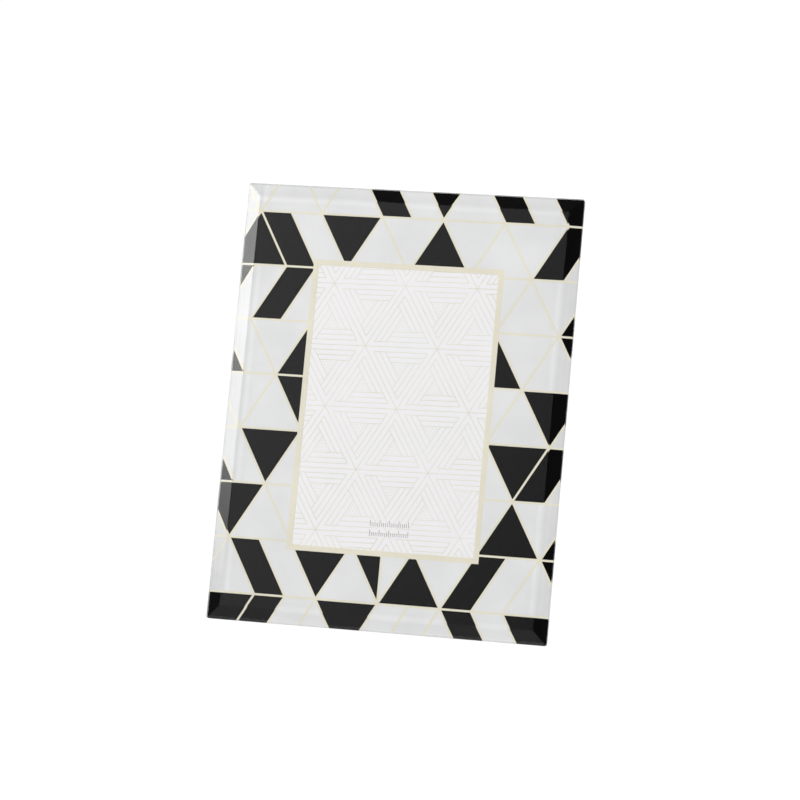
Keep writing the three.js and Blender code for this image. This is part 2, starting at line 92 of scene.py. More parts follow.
def block(low, high):
    """A box between two corners."""
    shape = bmesh.new()
    place = Matrix.Translation((low + high) / 2) @ Matrix.Diagonal((*(high - low), 1))
    bmesh.ops.create_cube(shape, size=1, matrix=place)
    shape.normal_update()
    return shape


def faces_towards(shape, direction):
    """The flat faces that look one way."""
    return [face for face in shape.faces if face.normal.dot(direction) > SAME_WAY]


def edges_along(shape, direction):
    """The straight edges that run one way."""
    found = []
    for edge in shape.edges:
        run = (edge.verts[1].co - edge.verts[0].co).normalized()
        if abs(run.dot(direction)) > SAME_WAY:
            found.append(edge)
    return found


def sharp_edges(shape):
    """The edges where two faces meet at a sharp angle."""
    shape.normal_update()
    return [edge for edge in shape.edges if edge.is_manifold and edge.calc_face_angle() > SHARP_ANGLE]


def round_edges(shape, edges, radius, segments):
    """Takes the edges off, as a grinder or a press does."""
    bmesh.ops.bevel(
        shape, geom=edges, offset=radius, offset_type="OFFSET", segments=segments,
        profile=0.5, affect="EDGES", clamp_overlap=True, material=-1,
    )


def new_object(name, shape, *materials):
    """An object made of a finished shape."""
    mesh = bpy.data.meshes.new(name)
    shape.to_mesh(mesh)
    shape.free()
    for material in materials:
        mesh.materials.append(material)
    made = bpy.data.objects.new(name, mesh)
    bpy.context.collection.objects.link(made)
    return made


def add_piece(name, shape, turn, body, material, nodes=(), smooth_below=50):
    """Leans a finished shape into its place, as a piece on a body that stands for CAD nodes."""
    bmesh.ops.transform(shape, matrix=turn, verts=shape.verts)
    bmesh.ops.recalc_face_normals(shape, faces=shape.faces)
    piece = new_object(name, shape, material)
    piece.data.shade_smooth()
    piece.data.set_sharp_from_angle(angle=math.radians(smooth_below))
    even = piece.modifiers.new("flat faces stay flat", "WEIGHTED_NORMAL")
    even.keep_sharp = True
    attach(piece, body)
    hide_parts(*nodes)
    return piece


def add_node(tree, kind, inputs=None, **settings):
    """A shader node with its settings, and with values or links on its inputs."""
    node = tree.nodes.new(kind)
    for name, value in settings.items():
        setattr(node, name, value)
    for name, value in (inputs or {}).items():
        if isinstance(value, bpy.types.NodeSocket):
            tree.links.new(value, node.inputs[name])
        else:
            node.inputs[name].default_value = value
    return node


def feed(tree, surface, **outputs):
    """Links colours, masks and normals to the inputs of a shader."""
    for socket, output in outputs.items():
        tree.links.new(output, surface.inputs[socket.replace("_", " ")])


def spread(tree, value, start, end, low=0.0, high=1.0):
    """A value between two limits, spread out between two others."""
    limits = {"From Min": start, "From Max": end, "To Min": low, "To Max": high}
    return add_node(tree, "ShaderNodeMapRange", {"Value": value, **limits}).outputs[0]


def noise_mask(tree, millimetres, low, high, detail=3, stretch=(1, 1, 1)):
    """Soft patches of about a size on the piece, from one value to another."""
    place = add_node(tree, "ShaderNodeTexCoord").outputs["Object"]
    mapping = add_node(tree, "ShaderNodeMapping", {"Vector": place, "Scale": stretch})
    noise = add_node(
        tree, "ShaderNodeTexNoise",
        {"Vector": mapping.outputs[0], "Scale": 1 / (millimetres * MM), "Detail": detail},
    )
    return spread(tree, noise.outputs[0], *NOISE_RANGE, low, high)


def combined(tree, operation, first, second):
    """Two masks put together by one sum."""
    return add_node(tree, "ShaderNodeMath", {0: first, 1: second}, operation=operation).outputs[0]


def mixed_colour(tree, mask, first, second):
    """From one colour to another, as a mask goes from 0 to 1."""
    mix = add_node(tree, "ShaderNodeMix", {0: mask, 6: first, 7: second}, data_type="RGBA")
    return mix.outputs[2]


def mixed_shader(tree, mask, first, second):
    """From one shader to another, as a mask goes from 0 to 1."""
    inputs = {0: mask, 1: first.outputs[0], 2: second.outputs[0]}
    return add_node(tree, "ShaderNodeMixShader", inputs).outputs[0]


def add_relief(tree, surface, height, strength, depth):
    """Fine relief on a surface, from a mask of its heights."""
    relief = add_node(
        tree, "ShaderNodeBump", {"Height": height, "Strength": strength, "Distance": depth}
    )
    feed(tree, surface, Normal=relief.outputs[0])


def new_group(name, inputs, outputs):
    """An effect for several materials, with its inputs and outputs."""
    group = bpy.data.node_groups.new(name, "ShaderNodeTree")
    for socket, kind, value in inputs:
        group.interface.new_socket(socket, in_out="INPUT", socket_type=kind).default_value = value
    for socket, kind in outputs:
        group.interface.new_socket(socket, in_out="OUTPUT", socket_type=kind)
    return group


def place_group(tree, group, **inputs):
    """An effect placed in a material, with values or links on its inputs."""
    return add_node(tree, "ShaderNodeGroup", inputs, node_tree=group)


def new_material(name, **inputs):
    """A material with plain values on its Principled shader."""
    material = bpy.data.materials.new(name)
    material.use_nodes = True
    surface = material.node_tree.nodes["Principled BSDF"]
    for socket, value in inputs.items():
        surface.inputs[socket.replace("_", " ")].default_value = value
    return material, material.node_tree, surface


def show_shader(tree, shader):
    """Makes a shader the look of a material."""
    tree.links.new(shader, tree.nodes["Material Output"].inputs["Surface"])


def handling_marks():
    """Where fingers and cloths have dulled a polish: broad smears with a fine haze in them."""
    group = new_group(
        "handling_marks",
        [("Clean", "NodeSocketFloat", 0.0), ("Dulled", "NodeSocketFloat", 0.1)],
        [("Roughness", "NodeSocketFloat")],
    )
    given = group.nodes.new("NodeGroupInput")
    smears = noise_mask(group, 22, 0, 1, stretch=(1, 1, 0.45))
    haze = noise_mask(group, 0.9, 0.55, 1)
    mask = combined(group, "MULTIPLY", smears, haze)
    roughness = spread(group, mask, 0, 1, given.outputs["Clean"], given.outputs["Dulled"])
    add_node(group, "NodeGroupOutput", {"Roughness": roughness})
    return group


def glass(name, tints, patch):
    """Glass that lamps shine through, onto the ink and the card behind it."""
    material, tree, surface = new_material(
        name, Roughness=0.0, IOR=GLASS_IOR, Transmission_Weight=1.0
    )
    clouds = noise_mask(tree, patch, 0, 1)
    feed(tree, surface, Base_Color=mixed_colour(tree, clouds, *tints))
    path = add_node(tree, "ShaderNodeLightPath")
    lit = combined(tree, "MAXIMUM", path.outputs["Is Shadow Ray"], path.outputs["Is Diffuse Ray"])
    clear = add_node(tree, "ShaderNodeBsdfTransparent")
    show_shader(tree, mixed_shader(tree, lit, surface, clear))
    return material, tree, surface


def polished_glass():
    """Float glass, with the faint waves that its rollers leave."""
    material, tree, surface = glass("clear_glass", GLASS_TINTS, 40)
    add_relief(tree, surface, noise_mask(tree, 35, 0, 1, detail=0), 1.0, ROLLER_WAVE)
    return material


def ground_glass():
    """The frosted grey of an edge from a grinding belt, polished a little by handling."""
    material, tree, surface = glass("ground_glass_edge", GROUND_TINTS, 1.5)
    marks = place_group(tree, marks_group, Clean=0.28, Dulled=0.48)
    feed(tree, surface, Roughness=marks.outputs["Roughness"])
    return material


marks_group = handling_marks()
glass_low, glass_high = corners("glass_plate", plate_turn)
ink_rear = corners("black_print", plate_turn)[1].y
sheet = block(Vector((glass_low.x, glass_low.y + BEVEL_DROP, glass_low.z)), glass_high)
bmesh.ops.inset_region(
    sheet, faces=faces_towards(sheet, TO_FRONT), thickness=BEVEL_WIDTH, depth=BEVEL_DROP,
    use_boundary=True, use_even_offset=True,
)
round_edges(sheet, edges_along(sheet, TO_REAR), GLASS_CORNER, 8)
rear_edges = [edge for face in faces_towards(sheet, TO_REAR) for edge in face.edges]
round_edges(sheet, rear_edges, REAR_ARRIS, 1)
front_edges = [edge for edge in sharp_edges(sheet) if edge.verts[0].co.y < glass_high.y - BEVEL_DROP]
round_edges(sheet, front_edges, FRONT_ARRIS, 1)
sheet.normal_update()
for face in sheet.faces:
    face.material_index = 1 if abs(face.normal.y) < SIDEWAYS else 0
bmesh.ops.inset_region(
    sheet, faces=faces_towards(sheet, TO_REAR), thickness=0.0,
    depth=ink_rear - INK_PROUD - glass_high.y, use_boundary=True,
)
bevelled_glass = add_piece(
    "bevelled_glass", sheet, plate_turn, "frame", polished_glass(), ["glass_plate"],
    smooth_below=1,
)
bevelled_glass.data.materials.append(ground_glass())

# Print. Three layers of ink on the back of the glass: pale gold lines first, then white with open
# tiles, then black, which fills those tiles and backs the rest. Each is screen printed and satin,
# with a faint mottle where the mesh laid down more or less of it.
WHITE_INK = (0.833, 0.832, 0.835, 1)
BLACK_INK = (0.0012, 0.0011, 0.0014, 1)
BLACK_COAT = (0.012, 0.012, 0.013, 1)
BARE_COAT = 0.7  # gloss of the coat on the bare side
GOLD_INK = (0.83, 0.785, 0.64, 1)
GOLD_FLAKE_GLINT = (0.93, 0.885, 0.74, 1)
FLAKE_SIZE = 0.12 * MM
# Painted light and shade on the white ink: bands along the edges of the glass, lighter where the bevel
# gathers light and darker right at the edges.
PAINTED_LIGHT_REACH = 16.0 * MM
SIDE_PAINTED_LIGHT = (  # millimetres in from the edge, and the light there
    (0.4, 0.82), (1.2, 0.89), (2.2, 0.925), (3.2, 0.91), (4.9, 0.94), (6.8, 0.925), (9.2, 1.04),
    (11.5, 0.985), (14.0, 1.0),
)
END_PAINTED_LIGHT = ((0.5, 0.88), (1.4, 1.015), (5.8, 0.975), (8.0, 1.05), (10.0, 0.995), (12.0, 1.0))


def ink_mottle():
    """An ink's colour with a broad mottle and the grain of the screen."""
    group = new_group(
        "ink_mottle",
        [("Colour", "NodeSocketColor", (0.5, 0.5, 0.5, 1))],
        [("Colour", "NodeSocketColor"), ("Roughness", "NodeSocketFloat")],
    )
    given = group.nodes.new("NodeGroupInput")
    broad = noise_mask(group, 22, 0.945, 1.025)
    grain = noise_mask(group, 0.22, 0.98, 1.02, detail=1)
    amount = combined(group, "MULTIPLY", broad, grain)
    toned = add_node(
        group, "ShaderNodeHueSaturation", {"Value": amount, "Color": given.outputs["Colour"]}
    )
    roughness = noise_mask(group, 1.6, 0.38, 0.5)
    add_node(group, "NodeGroupOutput", {"Colour": toned.outputs[0], "Roughness": roughness})
    return group


def along_plate(tree, axis):
    """Where a point of the print lies, along an axis that leans with the plate."""
    place = add_node(tree, "ShaderNodeTexCoord").outputs["Object"]
    upright = add_node(tree, "ShaderNodeMapping", {"Vector": place, "Rotation": (lean, 0, 0)})
    return add_node(tree, "ShaderNodeSeparateXYZ", {0: upright.outputs[0]}).outputs[axis]


def edge_distance(tree, axis):
    """How far a point of the print lies inside the edges of the glass, along one of its axes."""
    middle = (glass_low[axis] + glass_high[axis]) / 2
    offset = combined(tree, "SUBTRACT", along_plate(tree, axis), middle)
    away = add_node(tree, "ShaderNodeMath", {0: offset}, operation="ABSOLUTE").outputs[0]
    return combined(tree, "SUBTRACT", glass_high[axis] - middle, away)


def black_ink():
    """Black ink, deep where the glass wets it, and a satin coat on its bare side at the back."""
    material, tree, surface = new_material("black_ink", Specular_IOR_Level=0.0, Coat_Roughness=0.4)
    bare = combined(tree, "GREATER_THAN", along_plate(tree, 1), ink_rear - INK_PROUD / 2)
    mottle = place_group(tree, ink_group, Colour=mixed_colour(tree, bare, BLACK_INK, BLACK_COAT))
    feed(
        tree, surface, Base_Color=mottle.outputs["Colour"], Roughness=mottle.outputs["Roughness"],
        Coat_Weight=combined(tree, "MULTIPLY", bare, BARE_COAT),
    )
    return material


def white_ink():
    """White ink, with painted light and shade along the edges of the glass: soft lines of light that
    the bevel gathers, and darker bands.
    """
    material, tree, surface = new_material("white_ink", Specular_IOR_Level=0.0)
    mottle = place_group(tree, ink_group, Colour=WHITE_INK)
    colour = mottle.outputs["Colour"]
    # The ink's colour is multiplied by painted light and shade, in bands along each edge.
    for axis, steps in ((0, SIDE_PAINTED_LIGHT), (2, END_PAINTED_LIGHT)):
        share = combined(tree, "DIVIDE", edge_distance(tree, axis), PAINTED_LIGHT_REACH)
        ramp = add_node(tree, "ShaderNodeValToRGB", {0: share})
        ramp.color_ramp.interpolation = "EASE"
        stops = ramp.color_ramp.elements
        while len(stops) < len(steps):
            stops.new(1.0)
        for stop, (millimetres, level) in zip(stops, steps):
            stop.position = millimetres * MM / PAINTED_LIGHT_REACH
            stop.color = (level, level, level, 1)
        lit = add_node(
            tree, "ShaderNodeMix", {0: 1.0, 6: colour, 7: ramp.outputs[0]},
            data_type="RGBA", blend_type="MULTIPLY",
        )
        colour = lit.outputs[2]
    feed(tree, surface, Base_Color=colour, Roughness=mottle.outputs["Roughness"])
    return material


def gold_ink():
    """Pale gold ink, with fine flakes whose glints are painted lighter into its colour."""
    material, tree, surface = new_material("gold_ink", Specular_IOR_Level=0.0)
    place = add_node(tree, "ShaderNodeTexCoord").outputs["Object"]
    # Painted glints: flake cells are painted lighter into the ink's colour.
    flakes = add_node(tree, "ShaderNodeTexVoronoi", {"Vector": place, "Scale": 1 / FLAKE_SIZE})
    flake_glints = spread(tree, flakes.outputs["Color"], 0.55, 1.0)
    mottle = place_group(tree, ink_group, Colour=mixed_colour(tree, flake_glints, GOLD_INK, GOLD_FLAKE_GLINT))
    feed(tree, surface, Base_Color=mottle.outputs["Colour"], Roughness=mottle.outputs["Roughness"])
    return material


def dress(material, *nodes):
    """Gives CAD nodes whose shape is right their finish."""
    for node in nodes:
        for place in frame["nodes"][node].material_slots:
            place.material = material


ink_group = ink_mottle()
dress(gold_ink(), "gold_print")
dress(white_ink(), "white_print")
dress(black_ink(), "black_print")
# The layers stand for one fused film, so they cast no shadow and no tint on each other.
for layer in ("gold_print", "white_print", "black_print"):
    frame["nodes"][layer].visible_shadow = False
    frame["nodes"][layer].visible_diffuse = False

# Photo card. The paper insert in the window: coated white card, printed with fine gold lines and
# pressed to the glass by the filler. Every triangle of the lines holds three bands that overlap in
# a ring, round a small triangle of dots. Two rows of plain ruler marks stand near the bottom.
CARD_WHITE = (0.951, 0.924, 0.943, 1)
CARD_SHADE = (0.926, 0.899, 0.923, 1)
LINE_GOLD = (0.7, 0.695, 0.53, 1)
LINE_PALE = (0.83, 0.83, 0.73, 1)
MARK_GREY = (0.42, 0.42, 0.44, 1)
MARK_DARK = (0.34, 0.34, 0.36, 1)
FIBRE_DEPTH = 0.05 * MM
LINE_WIDTH = 0.32 * MM
LINE_THICKNESS = 0.02 * MM
LINE_STEP = 0.004 * MM  # between strips that cross
LINE_SINK = 0.01 * MM  # into the card
TRIANGLE_BASE = 37.77 * MM
TRIANGLE_ROW = 32.12 * MM
BAND = 2.67 * MM
DOT_RADIUS = 0.3 * MM
DOT_PITCH = 1.88 * MM
DOT_ROWS = 4
DOT_SIDES = 8
PRINT_TURN = 1.05  # degrees
PRINT_SHIFT = Vector((0.55 * MM, 0, 0.35 * MM))
CARD_TRIM = 1.0 * MM
MARK_PLACE = Vector((0.8 * MM, 0, -61.7 * MM))
MARK_COUNT = 21
MARK_PITCH = 1.0 * MM
MARK_ROW = 5.0 * MM
MARK_LONG = 3.2 * MM
MARK_SHORT = 1.9 * MM
LONG_EVERY = 5

card_low, card_high = corners("photo_card", plate_turn)
card_middle = (card_low + card_high) / 2
card_front = card_low.y


def paper_fibre():
    """Paper's own tone: soft clouds and fine fibres that run mostly one way."""
    light = ("Light", "NodeSocketColor", (0.9, 0.9, 0.9, 1))
    dark = ("Dark", "NodeSocketColor", (0.8, 0.8, 0.8, 1))
    group = new_group(
        "paper_fibre", [light, dark], [("Colour", "NodeSocketColor"), ("Height", "NodeSocketFloat")]
    )
    given = group.nodes.new("NodeGroupInput")
    clouds = noise_mask(group, 9, 0, 1)
    fibres = noise_mask(group, 0.35, 0, 1, detail=4, stretch=(0.25, 1, 1))
    both = combined(group, "MULTIPLY", clouds, fibres)
    colour = mixed_colour(group, both, given.outputs["Light"], given.outputs["Dark"])
    add_node(group, "NodeGroupOutput", {"Colour": colour, "Height": fibres})
    return group


def paper(name, light, dark, roughness, bump):
    """Card or board, with the fibres felt as well as seen."""
    material, tree, surface = new_material(name, Roughness=roughness, Specular_IOR_Level=0.3)
    fibre = place_group(tree, paper_group, Light=light, Dark=dark)
    feed(tree, surface, Base_Color=fibre.outputs["Colour"])
    add_relief(tree, surface, fibre.outputs["Height"], bump, FIBRE_DEPTH)
    return material


def printed_line(name, light, dark, metal, roughness):
    """Ink of a fine printed line, a little patchy along its length."""
    material, tree, surface = new_material(name, Metallic=metal, Roughness=roughness)
    patches = noise_mask(tree, 20, 0, 1)
    feed(tree, surface, Base_Color=mixed_colour(tree, patches, light, dark))
    return material


def add_strip(shape, start, end, rise):
    """A thin strip of ink between two points of the card, standing proud by its rise."""
    run = end - start
    middle = (start + end) / 2
    middle.y = card_front + (LINE_SINK - rise) / 2
    place = Matrix.Translation(middle) @ Matrix.Rotation(-math.atan2(run.z, run.x), 4, "Y")
    size = Matrix.Diagonal((run.length, LINE_SINK + rise, LINE_WIDTH, 1))
    bmesh.ops.create_cube(shape, size=1, matrix=place @ size)


def triangle_point(corner, height, side, along, other, across):
    """The point of a triangle at two distances from two of its sides."""
    share = {side: along / height[side], other: across / height[other]}
    third = ({"base", "left", "right"} - {side, other}).pop()
    share[third] = 1 - share[side] - share[other]
    return sum((corner[name] * share[name] for name in share), Vector())


def add_triangle(lines, dots, left, up):
    """One triangle of the card's lines, on its base's left end, pointing up or down."""
    apex = left + Vector((TRIANGLE_BASE / 2, 0, up * TRIANGLE_ROW))
    right = left + Vector((TRIANGLE_BASE, 0, 0))
    corner = {"base": apex, "left": right, "right": left}
    across = TRIANGLE_BASE * TRIANGLE_ROW / (apex - left).length
    height = {"base": TRIANGLE_ROW, "left": across, "right": across}
    order = ["base", "left", "right"]
    for turn, side in enumerate(order):
        rise = LINE_THICKNESS + turn * LINE_STEP
        following = order[(turn + 1) % 3]
        before = order[turn - 1]
        # Bands in from this side, and bands short of the next side.
        for lines_in, stop in ((0, 0), (1, 1), (2, 3), (3, 3)):
            # A triangle that points down shares its sides with those that point up.
            if lines_in == 0 and up < 0:
                continue
            along = lines_in * BAND
            start = triangle_point(corner, height, side, along, following, stop * BAND)
            end = triangle_point(corner, height, side, along, before, min(lines_in, 1) * BAND)
            add_strip(lines, start, end, rise)
    inner = [
        triangle_point(corner, height, side, 3 * BAND, order[turn - 1], 3 * BAND)
        for turn, side in enumerate(order)
    ]
    middle = sum(inner, Vector()) / 3
    for row in range(DOT_ROWS):
        for column in range(DOT_ROWS - row):
            aside = column - (DOT_ROWS - 1 - row) / 2
            above = up * (row - 1) * TRIANGLE_ROW / TRIANGLE_BASE
            spot = middle + Vector((aside, 0, above)) * DOT_PITCH
            spot.y = card_front + (LINE_SINK - LINE_THICKNESS) / 2
            bmesh.ops.create_cone(
                dots, cap_ends=True, segments=DOT_SIDES, radius1=DOT_RADIUS, radius2=DOT_RADIUS,
                depth=LINE_SINK + LINE_THICKNESS,
                matrix=Matrix.Translation(spot) @ Matrix.Rotation(math.pi / 2, 4, "X"),
            )


def cut_off(shape, place, outwards):
    """Cuts off what lies past a plane, and closes the cut."""
    bmesh.ops.bisect_plane(
        shape, geom=shape.verts[:] + shape.edges[:] + shape.faces[:], plane_co=place,
        plane_no=outwards, clear_outer=True,
    )
    bmesh.ops.holes_fill(shape, edges=[edge for edge in shape.edges if edge.is_boundary])


def lay_on_card(shape):
    """Turns a print a little askew on the card, and cuts it off at the card's edges."""
    askew = Matrix.Rotation(-math.radians(PRINT_TURN), 3, "Y")
    bmesh.ops.rotate(shape, cent=card_middle, matrix=askew, verts=shape.verts)
    bmesh.ops.translate(shape, vec=PRINT_SHIFT, verts=shape.verts)
    for axis in (0, 2):
        for side, limit in ((-1, card_low[axis] + CARD_TRIM), (1, card_high[axis] - CARD_TRIM)):
            outwards = Vector()
            outwards[axis] = side
            cut_off(shape, outwards * limit * side, outwards)


paper_group = paper_fibre()
dress(paper("photo_card", CARD_WHITE, CARD_SHADE, 0.6, 0.04), "photo_card")
card_lines = bmesh.new()
card_dots = bmesh.new()
rows = math.ceil((card_high.z - card_low.z) / 2 / TRIANGLE_ROW)
columns = math.ceil((card_high.x - card_low.x) / 2 / TRIANGLE_BASE) + 1
for row in range(-rows, rows + 1):
    for column in range(-columns, columns + 1):
        set_over = 0.5 * (row % 2)
        left = card_middle + Vector(((column + set_over) * TRIANGLE_BASE, 0, row * TRIANGLE_ROW))
        add_triangle(card_lines, card_dots, left, 1)
        add_triangle(card_lines, card_dots, left, -1)
lay_on_card(card_lines)
lay_on_card(card_dots)
gold_line = printed_line("card_gold", LINE_PALE, LINE_GOLD, 0.2, 0.3)
add_piece("card_lines", card_lines, plate_turn, "frame", gold_line)
add_piece("card_dots", card_dots, plate_turn, "frame", gold_line)

card_marks = bmesh.new()
mark_rise = LINE_THICKNESS + 3 * LINE_STEP
for row in (-0.5, 0.5):
    for count in range(MARK_COUNT):
        length = MARK_LONG if count % LONG_EVERY == 0 else MARK_SHORT
        aside = (count - (MARK_COUNT - 1) / 2) * MARK_PITCH
        foot = card_middle + MARK_PLACE + Vector((aside, 0, row * MARK_ROW - MARK_LONG / 2))
        add_strip(card_marks, foot, foot + Vector((0, 0, length)), mark_rise)
lay_on_card(card_marks)
grey_mark = printed_line("card_grey", MARK_GREY, MARK_DARK, 0.0, 0.5)
add_piece("card_marks", card_marks, plate_turn, "frame", grey_mark)

# Filler and tape. A grey board behind the photo presses it to the glass, and strips of pale foam
# tape hold the back frame to the print. Both are cut from flat stock, and almost none of it shows.
BOARD_LIGHT = (0.3, 0.285, 0.26, 1)
BOARD_DARK = (0.2, 0.188, 0.168, 1)
FOAM_LIGHT = (0.72, 0.74, 0.735, 1)
FOAM_DARK = (0.6, 0.62, 0.62, 1)
dress(paper("grey_board", BOARD_LIGHT, BOARD_DARK, 0.9, 0.5), "filler_card")
foam_tape = paper("foam_tape", FOAM_LIGHT, FOAM_DARK, 0.75, 0.3)
dress(foam_tape, "tape_left", "tape_right", "tape_bottom", "tape_top")

# Back frame and backing panel. Fibreboard wrapped in black velvet paper: a ring with the photo's
# pocket, stuck to the back of the glass, and the board that closes it. The wrap softens their edges.
VELVET_DARK = (0.009, 0.009, 0.01, 1)
VELVET_LIGHT = (0.034, 0.034, 0.037, 1)
VELVET_SHEEN = 0.35
VELVET_TINT = (0.72, 0.72, 0.74, 1)
NAP_DEPTH = 0.1 * MM
BACK_FRAME_CORNER = 3.0 * MM
POCKET_CORNER = 0.8 * MM
POCKET_GAP = 0.3 * MM
BOARD_EDGE = 0.6 * MM


def velvet_paper():
    """Short upright nap, brushed into lighter and darker patches, with single fibres in it."""
    material, tree, surface = new_material(
        "velvet_paper", Roughness=0.95, Specular_IOR_Level=0.06, Sheen_Weight=VELVET_SHEEN,
        Sheen_Roughness=0.3, Sheen_Tint=VELVET_TINT,
    )
    brushed = noise_mask(tree, 16, 0.1, 0.9, detail=4, stretch=(1, 1, 0.5))
    nap = noise_mask(tree, 0.2, 0, 1, detail=2)
    raised = combined(tree, "MULTIPLY", brushed, nap)
    feed(tree, surface, Base_Color=mixed_colour(tree, raised, VELVET_DARK, VELVET_LIGHT))
    add_relief(tree, surface, nap, 0.3, NAP_DEPTH)
    return material


velvet = velvet_paper()
low, high = corners("back_frame", plate_turn)
panel_low, panel_high = corners("backing_panel", plate_turn)
rail = panel_low.x - POCKET_GAP - low.x
ring = bmesh.new()
place = Matrix.Translation(((low.x + high.x) / 2, low.y, (low.z + high.z) / 2))
size = Matrix.Diagonal((high.x - low.x, high.z - low.z, 1, 1))
upright = Matrix.Rotation(math.pi / 2, 4, "X") @ size
bmesh.ops.create_grid(ring, x_segments=1, y_segments=1, size=0.5, matrix=place @ upright)
rails = bmesh.ops.inset_region(
    ring, faces=ring.faces[:], thickness=rail, use_boundary=True, use_even_offset=True
)["faces"]
bmesh.ops.delete(ring, geom=[face for face in ring.faces if face not in rails], context="FACES")
pulled = bmesh.ops.extrude_face_region(ring, geom=ring.faces[:])["geom"]
pulled_points = [item for item in pulled if isinstance(item, bmesh.types.BMVert)]
bmesh.ops.translate(ring, vec=TO_REAR * (high.y - low.y), verts=pulled_points)
bmesh.ops.recalc_face_normals(ring, faces=ring.faces)
outer = [edge for edge in edges_along(ring, TO_REAR) if abs(abs(edge.verts[0].co.x) - high.x) < MM]
round_edges(ring, outer, BACK_FRAME_CORNER, 6)
inner = [edge for edge in edges_along(ring, TO_REAR) if abs(edge.verts[0].co.x) < high.x - rail + MM]
round_edges(ring, inner, POCKET_CORNER, 3)
round_edges(ring, sharp_edges(ring), BOARD_EDGE, 3)
add_piece("velvet_ring", ring, plate_turn, "frame", velvet, ["back_frame"])

panel = block(panel_low, panel_high)
round_edges(panel, edges_along(panel, TO_REAR), POCKET_CORNER, 3)
round_edges(panel, sharp_edges(panel), BOARD_EDGE, 3)
add_piece("velvet_panel", panel, plate_turn, "frame", velvet, ["backing_panel"])

# Turn buttons and their screws. Four pressed steel tongues, nickel plated, hold the panel in its
# pocket. Each has a stiffening boss pressed up near its tip, and turns on a cross-recessed screw.
NICKEL = (0.56, 0.55, 0.53, 1)
NICKEL_DULL = (0.44, 0.43, 0.42, 1)
DRAWN_DEPTH = 0.02 * MM
BOSS_START = 5.2 * MM
BOSS_EDGE = 1.6 * MM
BOSS_RISE = 0.45 * MM
PRESSED_EDGE = 0.14 * MM
ROUND_SLACK = 0.01 * MM  # kept flat between two rounds
SCREW_HEAD_HEIGHT = 1.3 * MM
SCREW_SHANK = 1.3 * MM
HEAD_RIM = 0.35  # straight part of a head, as a share of its height
DOME_STEPS = 6
RECESS_LENGTH = 2.9 * MM
RECESS_WIDTH = 0.62 * MM
RECESS_DEPTH = 0.7 * MM
TURNED_STEPS = 32
WELD = 0.001 * MM
SLIVER = 0.002 * MM


def nickel_plate():
    """Nickel plate, drawn out in fine lines by the tumbler and a little dulled by handling."""
    material, tree, surface = new_material("nickel", Metallic=1.0)
    drawn = noise_mask(tree, 0.5, 0, 1, detail=4, stretch=(0.12, 1, 1))
    marks = place_group(tree, marks_group, Clean=0.2, Dulled=0.42)
    feed(
        tree, surface, Base_Color=mixed_colour(tree, drawn, NICKEL, NICKEL_DULL),
        Roughness=marks.outputs["Roughness"],
    )
    add_relief(tree, surface, drawn, 0.12, DRAWN_DEPTH)
    return material


def turned(profile):
    """A round piece about y, from the points of its profile: distance from the axis, and depth."""
    shape = bmesh.new()
    points = [shape.verts.new((radius, depth, 0)) for radius, depth in profile]
    edges = [shape.edges.new(pair) for pair in zip(points, points[1:])]
    bmesh.ops.spin(
        shape, geom=points + edges, cent=(0, 0, 0), axis=TO_REAR, angle=2 * math.pi,
        steps=TURNED_STEPS, use_merge=True,
    )
    bmesh.ops.remove_doubles(shape, verts=shape.verts, dist=WELD)
    bmesh.ops.recalc_face_normals(shape, faces=shape.faces)
    return shape


def domed_head(radius, height, shank_radius, shank_depth, crown):
    """A fastener's profile from the middle of its head to the tip of its shank."""
    steps = range(DOME_STEPS + 1)
    arc = [crown + (math.pi / 2 - crown) * step / DOME_STEPS for step in steps]
    rim = HEAD_RIM * height
    dome = [
        (radius * math.sin(angle), rim + (height - rim) * math.cos(angle)) for angle in arc
    ]
    return dome + [(radius, 0), (shank_radius, 0), (shank_radius, -shank_depth), (0, -shank_depth)]


def combine(shape, tool, operation):
    """One shape joined with another, or cut by it."""
    solids = [new_object("solid", part) for part in (shape, tool)]
    modifier = solids[0].modifiers.new("combine", "BOOLEAN")
    modifier.object = solids[1]
    modifier.operation = operation
    modifier.solver = "EXACT"
    result = bmesh.new()
    result.from_object(solids[0], bpy.context.evaluated_depsgraph_get())
    for solid in solids:
        bpy.data.meshes.remove(solid.data)
    bmesh.ops.dissolve_degenerate(result, dist=SLIVER, edges=result.edges)
    return result


